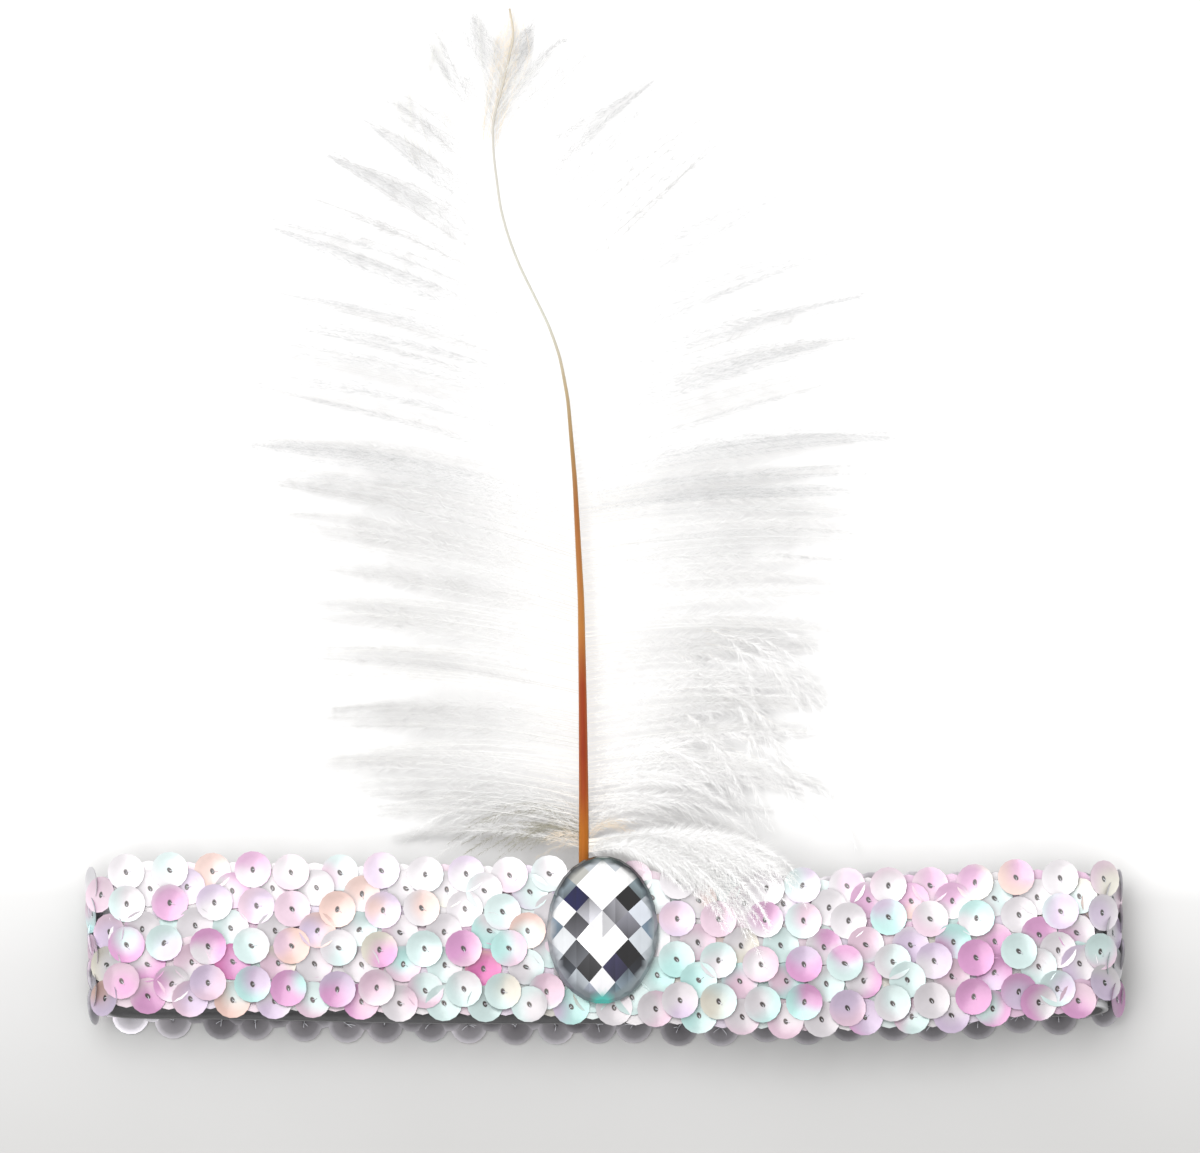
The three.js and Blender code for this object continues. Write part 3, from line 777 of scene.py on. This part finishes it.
def shaftSpot(up):
    y = plume["foot"] + np.asarray(up, float) * plume["reach"]
    x = np.interp(y, shaftLine[:, 1], shaftLine[:, 0])
    z = np.interp(y, shaftLine[:, 1], shaftLine[:, 2])
    radius = np.interp(y, shaftLine[:, 1], shaftRadii)
    return np.stack([x, y, z], -1), radius


def featherShaft():
    tones = [
        # up, core and edge colours
        (-0.2, (0.59, 0.33, 0.06), (0.68, 0.44, 0.18)),
        (0.03, (0.59, 0.33, 0.06), (0.68, 0.44, 0.18)),
        (0.07, (0.52, 0.21, 0.05), (0.66, 0.4, 0.2)),
        (0.12, (0.48, 0.15, 0.03), (0.64, 0.36, 0.2)),
        (0.2, (0.5, 0.18, 0.05), (0.65, 0.39, 0.22)),
        (0.27, (0.61, 0.39, 0.17), (0.7, 0.52, 0.3)),
        (0.34, (0.59, 0.37, 0.18), (0.7, 0.53, 0.33)),
        (0.41, (0.54, 0.33, 0.16), (0.67, 0.5, 0.33)),
        (0.48, (0.56, 0.44, 0.28), (0.67, 0.57, 0.43)),
        (0.55, (0.62, 0.55, 0.43), (0.69, 0.65, 0.55)),
        (0.63, (0.71, 0.705, 0.66), (0.74, 0.735, 0.7)),
        (0.85, (0.72, 0.71, 0.68), (0.75, 0.74, 0.71)),
        (1.0, (0.75, 0.71, 0.63), (0.77, 0.74, 0.68)),
    ]
    sides = 12
    line = shaftLine[::3]
    points = tubePoints(line, shaftRadii[::3], sides)
    ups = np.repeat((line[:, 1] - plume["foot"]) / plume["reach"], sides)
    places = np.array([row[0] for row in tones])
    core = np.array([linear(row[1]) for row in tones])
    edge = np.array([linear(row[2]) for row in tones])
    flank = np.tile(np.abs(np.cos(2 * np.pi * np.arange(sides) / sides)), len(line)) ** 3
    colors = np.zeros((len(points), 3))
    for channel in range(3):
        inner = np.interp(ups, places, core[:, channel])
        outer = np.interp(ups, places, edge[:, channel])
        colors[:, channel] = inner + (outer - inner) * flank
    heap = Heap()
    heap.add(points, tubeFaces(len(line), sides), colors)
    piece = heap.piece("horn_shaft", shaftMaterial(), "shaft")
    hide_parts("feather_shaft")


# Barbs: each is a fine tapering strand with soft barbules down both sides
barb = {
    "steps": 14, "strand": 0.045, "strandTone": 0.88, "drawnStrandTone": 1.1,
    "barbule": 0.042, "fluff": 3.4, "softness": 0.2,
    "drawnLay": 0.9,  # barbules that lean further than this are drawn together
}
barbColors = {
    "white": (0.97, 0.968, 0.963),
    "bright": (0.998, 0.997, 0.994),
    "shady": (0.93, 0.93, 0.925),
    # The darker warm grey below is painted shade for the creases among the curls at the foot
    "creaseShade": (0.66, 0.645, 0.585),
    "peach": (0.93, 0.87, 0.79),
    # The two drawn tones below are painted shade for barbs drawn together, the higher one darker
    "drawn": (0.905, 0.903, 0.896),
    "drawnHigh": (0.792, 0.794, 0.796),
    "peachHigh": (0.955, 0.91, 0.84),
    "greyHigh": (0.93, 0.93, 0.915),
}
barbTones = {name: np.array(linear(color)) for name, color in barbColors.items()}


def addBarb(
    heap, rng, line, count, tone, fluff,
    thickness=1.0, near=0.3, drop=0.35, lay=0.55, bare=1.0,
):
    # line runs from the shaft to the tip; near is how short the barbules are beside the shaft,
    # lay is how far they lean along it, and bare how much its root shows as a bare brownish strand
    steps = np.linspace(0, 1, len(line))
    radii = barb["strand"] * thickness * (1 - 0.7 * steps)
    shade = tone * rng.uniform(0.95, 1.02)
    points = tubePoints(line, radii, 3, rng.uniform(0, 2))
    middle = np.repeat(line, 3, axis=0)
    soft = np.array((0.0, 0.0, 1.0)) + 0.6 * unit(points - middle)
    root = smooth(np.repeat(steps, 3), 0.2 * (1 - bare), 0.3 + 0.2 * (1 - bare))[:, None]
    drawn = lay > barb["drawnLay"]
    strandTone = shade * (barb["drawnStrandTone"] if drawn else barb["strandTone"])
    brownish = strandTone * np.array((0.95, 0.91, 0.84))
    rootTone = bare * brownish + (1 - bare) * barbTones["white"] * 0.96
    heap.add(points, tubeFaces(len(line), 3), strandTone * root + rootTone * (1 - root), unit(soft))
    at = np.sort(rng.uniform(0.02, 1.0, count) ** 0.85)
    spot = at * (len(line) - 1)
    low = np.minimum(spot.astype(int), len(line) - 2)
    share = (spot - low)[:, None]
    roots = line[low] * (1 - share) + line[low + 1] * share
    heading = unit(line[low + 1] - line[low])
    across = unit(np.cross(heading, (0.0, 0.0, 1.0)))
    above = np.cross(across, heading)
    side = np.where(rng.uniform(size=count) < 0.5, -1.0, 1.0)
    if drawn:
        # Drawn together, its barbules make a soft rope rather than a line
        roots += across * (side * rng.uniform(0, 0.5, count) * (1 - 0.6 * at))[:, None]
    sweep = np.minimum(rng.uniform(lay, 1.25, count) + 0.25 * at, 1.5)
    lift = rng.normal(-drop * 0.3, 0.25, count)
    way = unit(
        across * (side * np.cos(sweep))[:, None]
        + heading * np.sin(sweep)[:, None]
        + above * lift[:, None]
    )
    shape = near + (1 - near) * smooth(at, 0.08, 0.5)
    shape = shape * (1 - 0.7 * smooth(at, 0.6, 1.0))
    length = barb["fluff"] * fluff * shape * rng.uniform(0.5, 1.15, count)
    tips = roots + way * length[:, None]
    tips[:, 2] -= drop * length * rng.uniform(0.1, 0.6, count)
    tips[:, 2] = np.maximum(tips[:, 2], 0.1)
    roots[:, 2] = np.maximum(roots[:, 2], 0.12)
    # Each barbule is a sliver whose broad side faces up, rolled a little to either side
    flat = unit(np.cross(way, (0.0, 0.0, 1.0)) + 0.3 * rng.normal(size=(count, 3)))
    flat = unit(flat - way * np.sum(flat * way, axis=1, keepdims=True))
    third = np.cross(way, flat)
    half = barb["barbule"] * rng.uniform(0.7, 1.2, count)[:, None] / 2
    points = np.stack([roots + flat * half, roots - flat * half, roots + third * half * 1.6, tips], 1)
    base = (np.arange(count) * 4)[:, None]
    faces = np.concatenate([base + np.array(f) for f in ((0, 2, 3), (2, 1, 3), (1, 0, 3), (0, 1, 2))])
    colors = np.repeat((shade * rng.uniform(0.95, 1.03, count)[:, None])[:, None], 4, 1).reshape(-1, 3)
    soft = np.array((0.0, 0.0, 1.0)) + barb["softness"] * rng.normal(size=(count, 3))
    heap.add(points.reshape(-1, 3), faces, colors, np.repeat(unit(soft)[:, None], 4, 1).reshape(-1, 3))


def lockRow(locks, at):
    rows = np.array(locks)
    at = np.asarray(at, float)
    low = np.clip(np.floor(at).astype(int), 0, len(rows) - 2)
    return rows[low] + (rows[low + 1] - rows[low]) * (at - low)[..., None]


def bow(root, bend, tip, share):
    share = share[:, None]
    return root * (1 - share) ** 2 + bend * 2 * share * (1 - share) + tip * share**2


def vaneRoots(rng, locks, barbs):
    # Where each barb leaves the shaft, the place that its bunch's tips draw towards, and the
    # bunch's tone, height, reach and whether it is drawn tight
    roots = np.array(locks)[:, 0]
    even = np.linspace(0, 1, barbs)
    warped = even + 0.35 * np.maximum(even - 0.6, 0) ** 2 / 0.16
    reach = roots[-1] + 0.03 - roots[0]
    ups = roots[0] - 0.004 + reach * warped / warped[-1] + rng.normal(0, 0.0012, barbs)
    bunches, tones, heights, reaches, tight = np.zeros((5, barbs))
    first = 0
    while first < barbs:
        last = min(barbs, first + int(rng.integers(3, 8)))
        middle = ups[first:last].mean()
        nearest = roots[np.argmin(np.abs(roots - middle))]
        bunches[first:last] = (nearest if rng.uniform() < 0.6 else middle) + rng.normal(0, 0.004)
        reaches[first:last] = rng.uniform(0.87, 1.02)
        tight[first:last] = rng.uniform() < 0.3 + 0.25 * float(smooth(middle, 0.35, 0.6))
        tones[first:last] = rng.uniform(0.55, 1.0) if rng.uniform() < 0.3 else rng.uniform(0, 0.25)
        heights[first:last] = rng.uniform(0.15, 1.0)
        first = last
    return ups, bunches, tones, heights, reaches, tight


def vaneLine(rng, locks, hand, up, bunch, height, reach, tight):
    # One barb's line: up is its own root's share of the shaft, bunch is its bunch's
    roots = np.array(locks)[:, 0]
    share = np.linspace(0, 1, barb["steps"])
    row = lockRow(locks, float(np.interp(up, roots, np.arange(len(roots)))))
    drawn = lockRow(locks, float(np.interp(bunch, roots, np.arange(len(roots)))))
    lag = 0.04 * float(smooth(up, 0.38, 0.5) * (1 - smooth(up, 0.7, 0.85))) * (hand > 0)
    root, radius = shaftSpot(up - lag)
    own = shaftSpot(up)[0]
    start = shaftSpot(bunch)[0]
    root = root + np.array((hand * radius * 0.7, 0.0, 0.0))
    own = own + np.array((hand * row[1] * plume["half"], row[2] * plume["reach"], 0.0))
    shared = start + np.array((hand * drawn[1] * plume["half"], drawn[2] * plume["reach"], 0.0))
    pull = rng.uniform(0.5 + 0.35 * tight, 0.97)
    tip = own + (shared - own) * pull
    tip[:2] += rng.normal(0, 0.9 - 0.5 * tight, 2)
    span = np.linalg.norm(tip - root)
    bend = (root + own) / 2
    bend[1] += row[3] * span * rng.uniform(0.8, 1.3) * (1 - 10 * lag)
    line = bow(root, bend, tip, share * reach * rng.uniform(0.92, 1.02))
    full = 1.3 * (1 - float(smooth(up, 0.15, 0.8))) + 0.7
    arch = height * full + rng.uniform(0, 0.4)
    line[:, 2] = root[2] * (1 - share) ** 1.8 + 0.9 * share + arch * np.sin(np.pi * share) ** 0.9
    wave = rng.uniform(0, 2 * np.pi)
    swing = 0.35 + 1.1 * float(smooth(up, 0.7, 0.9))
    line[:, 1] += swing * share * np.sin(wave + share * rng.uniform(3, 7))
    line[:, 0] += 0.5 * swing * share**2 * np.sin(1.3 * wave + share * 4)
    line[:, 2] += 0.3 * share * np.sin(wave * 1.7 + share * rng.uniform(3, 9))
    line[:, 2] = np.maximum(line[:, 2], 0.35)
    return line


def vane(name, node, locks, hand, seed):
    size = {"barbs": 170, "barbules": 440, "parts": ("", "_high"), "highFrom": 0.36}
    size["drawn"] = (0.22, 0.75)  # how often a barb is drawn together, in loose and in tight bunches
    # The base tones by height below are painted light and shade, not the feather's own white: lighter at
    # the right foot, darker at the left foot and darker towards the tip
    size["toneUps"] = (0.2, 0.35, 0.46, 0.65)
    size["tones"] = (0.99, 0.86, 0.85, 0.6) if hand > 0 else (0.81, 0.8, 0.85, 0.6)
    rng = np.random.default_rng(seed)
    heaps = [Heap() for part in size["parts"]]
    for up, bunch, tone, height, reach, tight in zip(*vaneRoots(rng, locks, size["barbs"])):
        heap = heaps[int(up > size["highFrom"])]
        line = vaneLine(rng, locks, hand, up, bunch, height, reach, tight)
        length = np.linalg.norm(np.diff(line, axis=0), axis=1).sum()
        thinning = 1 - 0.5 * float(smooth(up, 0.7, 0.85))
        count = int(size["barbules"] * min(1.15, 0.3 + length / 70) * thinning)
        high = float(smooth(up, 0.2, 0.45))
        paintedTone = np.interp(up, size["toneUps"], size["tones"])
        shade = paintedTone * np.array((1.0, 0.996, 0.988)) * (1 - 0.14 * tone)
        fluff = 1.1 - 0.4 * float(smooth(up, 0.3, 1.0))
        bare = 1 - 0.9 * float(smooth(up, 0.3, 0.55))
        rate = size["drawn"][int(tight)] * (1 - 0.4 * (hand > 0) * (1 - high))
        if rng.uniform() < rate:
            # A barb whose barbules stay drawn together shows as a soft stroke, darkened as painted shade,
            # darker still higher up
            line[:, 2] += 0.5 * np.sin(np.pi * np.linspace(0, 1, len(line)))
            stroke = barbTones["drawn"] * (1 - high) + barbTones["drawnHigh"] * high
            stroke = stroke * rng.uniform(0.95, 1.1)
            stroke = stroke + (shade - stroke) * 0.45 * float(smooth(up, 0.6, 0.8))
            count = int((0.8 + 0.4 * high) * count)
            addBarb(heap, rng, line, count, stroke, 0.6, lay=0.95, bare=bare)
        else:
            count = int((1 - 0.4 * high) * count)
            addBarb(heap, rng, line, count, shade, fluff, bare=bare)
    for part, heap in zip(size["parts"], heaps):
        piece = heap.piece(name + part, barbMaterial(), "barbs")
        if not part:
            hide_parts(node)


# Loose bunches, listed one by one. Places are shares: to the side, of the plume's half width from its
# middle line, and up, of its reach from the foot. Heights and spreads are millimetres.
looseBunches = {
    "drooping_fluff": [
        # start, bend, end, start height, end height, spread, barbs, tone
        ((0.24, 0.24), (0.4, 0.22), (0.36, 0.07), 2.6, 1.8, 3.6, 4, "bright"),
        ((0.2, 0.2), (0.4, 0.22), (0.5, 0.1), 2.8, 1.8, 4.0, 4, "bright"),
        ((0.3, 0.25), (0.52, 0.24), (0.6, 0.15), 2.2, 1.2, 3.0, 4, "bright"),
        ((0.34, 0.26), (0.54, 0.25), (0.64, 0.18), 1.9, 0.9, 2.6, 3, "bright"),
        ((0.32, 0.19), (0.48, 0.16), (0.56, 0.05), 2.5, 1.4, 4.0, 4, "bright"),
        ((0.16, 0.15), (0.34, 0.15), (0.44, 0.03), 3.8, 2.4, 3.6, 4, "bright"),
        ((0.06, 0.11), (0.25, 0.15), (0.36, 0.06), 5.4, 3.6, 2.4, 4, "bright"),
        ((-0.02, 0.06), (0.2, 0.11), (0.42, 0.03), 6.8, 4.0, 2.4, 5, "bright"),
        ((0.36, 0.13), (0.5, 0.1), (0.6, 0.05), 3.0, 1.4, 3.0, 4, "bright"),
    ],
    "curls_at_foot": [
        ((-0.065, 0.03), (-0.2, 0.085), (-0.34, 0.03), 7.6, 3.0, 1.4, 7, "white"),
        # Two of these curls take the darker warm grey, painted shade for the creases at the foot
        ((-0.065, 0.025), (-0.22, 0.07), (-0.42, 0.01), 7.4, 2.0, 2.4, 12, "creaseShade"),
        ((-0.065, 0.045), (-0.26, 0.1), (-0.5, 0.02), 6.6, 1.6, 2.4, 8, "white"),
        ((-0.065, 0.06), (-0.3, 0.12), (-0.56, 0.035), 6.4, 1.2, 2.6, 8, "white"),
        ((-0.065, 0.018), (-0.15, 0.05), (-0.29, 0.0), 8.0, 5.0, 1.4, 9, "creaseShade"),
        ((-0.065, 0.012), (-0.1, 0.035), (-0.2, 0.012), 8.6, 7.4, 0.8, 4, "peach"),
        ((-0.05, 0.02), (0.0, 0.05), (0.12, 0.03), 8.6, 7.6, 0.9, 4, "peach"),
        ((-0.05, 0.03), (0.06, 0.075), (0.24, 0.035), 8.2, 7.0, 1.4, 7, "white"),
    ],
    "tip_wisps": [
        ((-0.33, 0.84), (-0.3, 0.95), (-0.25, 1.01), 1.2, 0.9, 1.7, 7, "peachHigh"),
        ((-0.33, 0.86), (-0.28, 0.94), (-0.24, 1.0), 1.2, 0.9, 2.2, 6, "peachHigh"),
        ((-0.32, 0.87), (-0.28, 0.93), (-0.14, 0.975), 1.0, 0.8, 2.6, 5, "greyHigh"),
        ((-0.33, 0.87), (-0.38, 0.95), (-0.36, 1.01), 1.0, 0.8, 2.0, 4, "greyHigh"),
        ((-0.44, 0.86), (-0.53, 0.96), (-0.47, 1.0), 1.0, 0.7, 1.6, 6, "greyHigh"),
        ((-0.55, 0.82), (-0.62, 0.9), (-0.56, 0.95), 0.9, 0.7, 2.2, 6, "greyHigh"),
    ],
}
looseLooks = {
    # seed, barbules a millimetre, their length, how far they lean along the strand, and its swing
    "drooping_fluff": (41, 8.0, 1.35, 0.8, 0.4),
    "curls_at_foot": (42, 5.0, 0.75, 0.6, 0.4),
    "tip_wisps": (43, 3.6, 0.6, 0.6, 0.9),
}


def sharePlace(spot, height):
    return np.array((spot[0] * plume["half"], plume["foot"] + spot[1] * plume["reach"], height))


def looseBarbs(name):
    seed, barbules, fluff, lay, swing = looseLooks[name]
    rng = np.random.default_rng(seed)
    heap = Heap()
    share = np.linspace(0, 1, barb["steps"])
    for start, bend, end, startHeight, endHeight, spread, barbs, tone in looseBunches[name]:
        first = sharePlace(start, startHeight)
        middle = sharePlace(bend, (startHeight + endHeight) / 2 + 1.0)
        last = sharePlace(end, endHeight)
        for strand in range(barbs):
            shift = rng.normal(0, spread, 3) * np.array((1.0, 1.0, 0.18))
            reached = share * rng.uniform(0.75, 1.05)
            line = bow(first + 0.7 * shift, middle + 0.9 * shift, last + shift, reached)
            line[:, :2] += np.outer(share * np.sin(rng.uniform(0, 6) + share * 5), rng.normal(0, swing, 2))
            line[:, 2] = np.maximum(line[:, 2], 0.4)
            length = np.linalg.norm(np.diff(line, axis=0), axis=1).sum()
            count = int(20 + barbules * length)
            addBarb(heap, rng, line, count, barbTones[tone], fluff, 0.8, near=0.5, lay=lay)
    heap.piece(name, barbMaterial(), "barbs")


def tuftOverBand():
    size = {"barbs": 85, "barbules": 250}
    rng = np.random.default_rng(71)
    rows = np.array(tuftLocks)
    heap = Heap()
    share = np.linspace(0, 1, barb["steps"])
    for strand in range(size["barbs"]):
        at = rng.uniform(-0.3, len(rows) - 0.7)
        row = lockRow(rows, at)
        root, radius = shaftSpot(row[0])
        root = root + np.array((radius * 0.7, 0.0, 0.0))
        bend = np.array((root[0] + row[1] * plume["half"], plume["foot"] + row[4] * band["width"], 0.0))
        tip = np.array((root[0] + row[2] * plume["half"], plume["foot"] - row[3] * band["width"], 0.0))
        tip[:2] += rng.normal(0, 1.5, 2)
        line = bow(root, bend, tip, share * rng.uniform(0.7, 1.04))
        climb = smooth(share, 0.0, 0.4)
        rest = band["height"] + rng.uniform(0.5, 3.4)
        line[:, 2] = root[2] * (1 - climb) + rest * climb - 1.2 * np.maximum(share - 0.7, 0) * climb
        line[:, 1] += 0.5 * share * np.sin(rng.uniform(0, 6) + share * 5)
        tone = barbTones["shady" if rng.uniform() < 0.15 else "bright"]
        addBarb(heap, rng, line, size["barbules"], tone, 1.1, near=0.5, drop=0.15, lay=0.5)
    piece = heap.piece("tuft_over_band", barbMaterial(), "barbs")
    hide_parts("down_tuft")


# Floor, camera and light
def floorAndCamera():
    view = {"elevation": 79.0, "distance": 4.0, "wide": 1200 * 0.1905, "aside": -0.95, "ahead": 72.0}
    bpy.ops.mesh.primitive_plane_add(size=4.0, location=(0, 0, -0.0003))
    ground = bpy.context.object
    ground.name = "table_top"
    material, tree, shader = newMaterial("pale_table_painted_falloff", Roughness=0.7)
    # The table's colour is painted light and shade: darker towards the near side and lighter towards the
    # far side, with noise making the change uneven
    where = addNode(tree, "ShaderNodeTexCoord")
    parts = addNode(tree, "ShaderNodeSeparateXYZ")
    tree.links.new(where.outputs["Object"], parts.inputs["Vector"])
    cloud = noiseNode(tree, 9.0, 4.0)
    drift = addNode(tree, "ShaderNodeMath", operation="MULTIPLY_ADD")
    drift.inputs[1].default_value = 0.03
    tree.links.new(cloud.outputs["Fac"], drift.inputs[0])
    tree.links.new(parts.outputs["Y"], drift.inputs[2])
    ramp = addNode(tree, "ShaderNodeValToRGB")
    paintedFalloff = addNode(tree, "ShaderNodeMapRange", From_Min=-0.12, From_Max=0.06)
    tree.links.new(drift.outputs["Value"], paintedFalloff.inputs["Value"])
    stops = ramp.color_ramp.elements
    stops[0].color = (0.39, 0.388, 0.382, 1)
    stops[1].color = (0.8, 0.8, 0.8, 1)
    for at, tone in ((0.18, 0.455), (0.27, 0.505), (0.35, 0.57), (0.405, 0.76)):
        stops.new(at).color = (tone, tone, 0.995 * tone, 1)
    tree.links.new(paintedFalloff.outputs["Result"], ramp.inputs["Fac"])
    tree.links.new(ramp.outputs["Color"], shader.inputs["Base Color"])
    ground.data.materials.append(material)
    target = Vector(place((view["aside"], view["ahead"], 0.0)))
    tilt = math.radians(view["elevation"])
    away = Vector((0.0, -math.cos(tilt), math.sin(tilt)))
    lens = bpy.data.cameras.new("photo_view")
    lens.sensor_width = 36.0
    lens.lens = 36.0 * view["distance"] / (view["wide"] * mm)
    lens.clip_start = 0.01
    camera = bpy.data.objects.new("photo_view", lens)
    camera.location = target + away * view["distance"]
    camera.rotation_euler = (-away).to_track_quat("-Z", "Y").to_euler()
    bpy.context.scene.collection.objects.link(camera)
    bpy.context.scene.camera = camera


def softBox(name, location, aim, size, watts):
    data = bpy.data.lights.new(name, "AREA")
    data.shape = "RECTANGLE"
    data.size, data.size_y = size
    data.energy = watts
    box = bpy.data.objects.new(name, data)
    box.location = location
    box.rotation_euler = (Vector(aim) - Vector(location)).to_track_quat("-Z", "Y").to_euler()
    bpy.context.scene.collection.objects.link(box)
    return box


def studio():
    softBox("window_above", (-0.4, 0.15, 1.25), (0.0, -0.02, 0.0), (1.2, 0.85), 11.0)
    card = softBox("card_in_front", (-0.12, -0.42, 0.6), (0.0, -0.06, 0.0), (0.5, 0.3), 1.5)
    card.visible_glossy = False
    world = bpy.data.worlds.new("studio")
    world.use_nodes = True
    sky = world.node_tree.nodes["Background"]
    sky.inputs["Color"].default_value = (1.0, 0.99, 0.985, 1)
    sky.inputs["Strength"].default_value = 0.98
    scene = bpy.context.scene
    scene.world = world
    scene.view_settings.view_transform = "Standard"
    scene.view_settings.look = "None"


elasticBand()
sequinCover()
sequinStitches()
facetedGem()
featherShaft()
vane("barbs_left", "vane_left", leftLocks, -1, 21)
vane("barbs_right", "vane_right", rightLocks, 1, 22)
tuftOverBand()
for looseName in looseBunches:
    looseBarbs(looseName)
floorAndCamera()
studio()


def corners(box):
    return [[round(float(value), 6) for value in corner] for corner in box]
